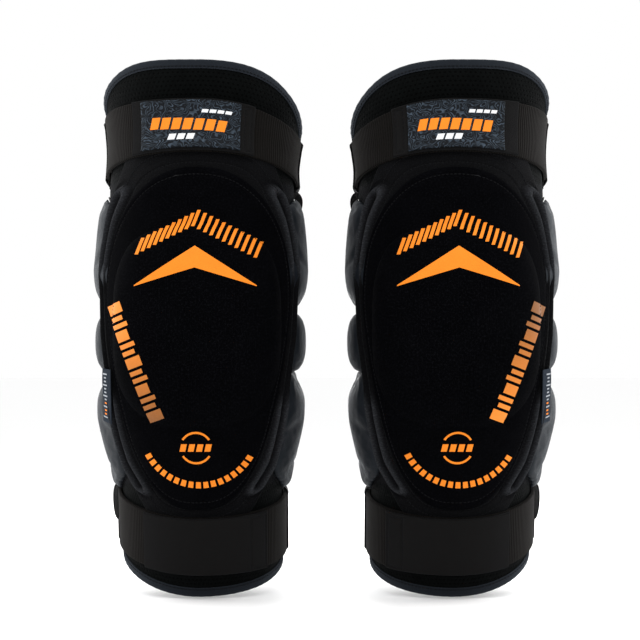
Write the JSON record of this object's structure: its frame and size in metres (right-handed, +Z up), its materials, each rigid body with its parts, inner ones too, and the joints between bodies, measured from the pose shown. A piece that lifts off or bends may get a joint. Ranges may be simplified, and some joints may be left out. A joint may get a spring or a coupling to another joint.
{
  "type": "pair of motorcycle knee guards",
  "caption": "Pull-on knee guards: pre-bent knit sleeves with a padded knee cup under a long cover, side pads and elastic straps with peel-open ends.",
  "frame": {"origin": "midway between the two guards, on the line through both knees that the guards bend about", "axes": "+Z up along the upright knees, -Y out of the fronts of the guards, +X from the left guard to the right guard as seen from the front"},
  "size_m": [0.349, 0.195, 0.3982],
  "materials": {
    "sleeve_knit": "matte perforated knit over thin foam",
    "binding_tape": "soft brushed edge tape",
    "grip_rubber": "matte silicone",
    "pad_foam": "matte foam",
    "side_satin": "smooth satin knit",
    "strap_elastic": "ribbed woven elastic",
    "keeper_tape": "woven tape",
    "cup_plastic": "moulded, matte",
    "tag_woven": "woven label",
    "cover_knit": "fine matte knit",
    "hook_tape": "hook tape",
    "label_rubber": "moulded relief, satin"
  },
  "bodies": {
    "left_thigh_half": {"left_thigh_sleeve": "sleeve_knit", "left_thigh_binding": "binding_tape", "left_thigh_grip": "grip_rubber", "left_thigh_pad": "pad_foam", "left_upper_pad_outer": "side_satin", "left_upper_pad_inner": "side_satin", "left_upper_strap": "strap_elastic", "left_upper_keepers": "keeper_tape"},
    "left_knee_part": {"left_knee_cup": "cup_plastic", "left_cup_liner": "pad_foam", "left_mid_pad_outer": "side_satin", "left_mid_pad_inner": "side_satin", "left_knee_sleeve": "sleeve_knit", "left_front_cover": "cover_knit"},
    "left_shin_half": {"left_shin_sleeve": "sleeve_knit", "left_shin_binding": "binding_tape", "left_calf_grip": "grip_rubber", "left_shin_pad": "pad_foam", "left_lower_pad_outer": "side_satin", "left_lower_pad_inner": "side_satin", "left_lower_strap": "strap_elastic", "left_lower_keepers": "keeper_tape", "left_side_tag": "tag_woven"},
    "left_upper_strap_end": {"left_upper_tab": "strap_elastic", "left_upper_hook": "hook_tape", "left_upper_label": "label_rubber"},
    "left_lower_strap_end": {"left_lower_tab": "strap_elastic", "left_lower_hook": "hook_tape"},
    "right_thigh_half": {"right_thigh_sleeve": "sleeve_knit", "right_thigh_binding": "binding_tape", "right_thigh_grip": "grip_rubber", "right_thigh_pad": "pad_foam", "right_upper_pad_outer": "side_satin", "right_upper_pad_inner": "side_satin", "right_upper_strap": "strap_elastic", "right_upper_keepers": "keeper_tape"},
    "right_knee_part": {"right_knee_cup": "cup_plastic", "right_cup_liner": "pad_foam", "right_mid_pad_outer": "side_satin", "right_mid_pad_inner": "side_satin", "right_knee_sleeve": "sleeve_knit", "right_front_cover": "cover_knit"},
    "right_shin_half": {"right_shin_sleeve": "sleeve_knit", "right_shin_binding": "binding_tape", "right_calf_grip": "grip_rubber", "right_shin_pad": "pad_foam", "right_lower_pad_outer": "side_satin", "right_lower_pad_inner": "side_satin", "right_lower_strap": "strap_elastic", "right_lower_keepers": "keeper_tape", "right_side_tag": "tag_woven"},
    "right_upper_strap_end": {"right_upper_tab": "strap_elastic", "right_upper_hook": "hook_tape", "right_upper_label": "label_rubber"},
    "right_lower_strap_end": {"right_lower_tab": "strap_elastic", "right_lower_hook": "hook_tape"}
  },
  "joints": [
    {"name": "guards_apart", "type": "slide", "parent": "left_thigh_half", "child": "right_thigh_half", "axis": [1, 0, 0], "range_m": [0, 0.25]},
    {"name": "left_knee_flex_above", "type": "hinge", "parent": "left_thigh_half", "child": "left_knee_part", "pos_m": [-0.0945, 0, 0], "axis": [1, 0, 0], "range_deg": [-4, 22.5], "stiffness_Nm_per_rad": 8, "deforming": ["left_knee_sleeve", "left_front_cover"]},
    {"name": "left_knee_flex_below", "type": "hinge", "parent": "left_knee_part", "child": "left_shin_half", "pos_m": [-0.0945, 0, 0], "axis": [1, 0, 0], "range_deg": [-4, 22.5], "stiffness_Nm_per_rad": 8},
    {"name": "left_upper_strap_peel", "type": "hinge", "parent": "left_thigh_half", "child": "left_upper_strap_end", "pos_m": [-0.14642, -0.02646, 0.14908], "axis": [0, -0.2588, -0.9659], "range_deg": [0, 90]},
    {"name": "left_lower_strap_peel", "type": "hinge", "parent": "left_shin_half", "child": "left_lower_strap_end", "pos_m": [-0.13489, -0.01913, -0.15332], "axis": [0, 0.2588, -0.9659], "range_deg": [0, 90]},
    {"name": "right_knee_flex_above", "type": "hinge", "parent": "right_thigh_half", "child": "right_knee_part", "pos_m": [0.0945, 0, 0], "axis": [1, 0, 0], "range_deg": [-4, 22.5], "stiffness_Nm_per_rad": 8, "deforming": ["right_knee_sleeve", "right_front_cover"]},
    {"name": "right_knee_flex_below", "type": "hinge", "parent": "right_knee_part", "child": "right_shin_half", "pos_m": [0.0945, 0, 0], "axis": [1, 0, 0], "range_deg": [-4, 22.5], "stiffness_Nm_per_rad": 8},
    {"name": "right_upper_strap_peel", "type": "hinge", "parent": "right_thigh_half", "child": "right_upper_strap_end", "pos_m": [0.14642, -0.02646, 0.14908], "axis": [0, 0.2588, 0.9659], "range_deg": [0, 90]},
    {"name": "right_lower_strap_peel", "type": "hinge", "parent": "right_shin_half", "child": "right_lower_strap_end", "pos_m": [0.13489, -0.01913, -0.15332], "axis": [0, -0.2588, 0.9659], "range_deg": [0, 90]}
  ],
  "couplings": [
    {"joint": "left_knee_flex_below", "follows": "left_knee_flex_above", "ratio": 1},
    {"joint": "right_knee_flex_below", "follows": "right_knee_flex_above", "ratio": 1}
  ]
}
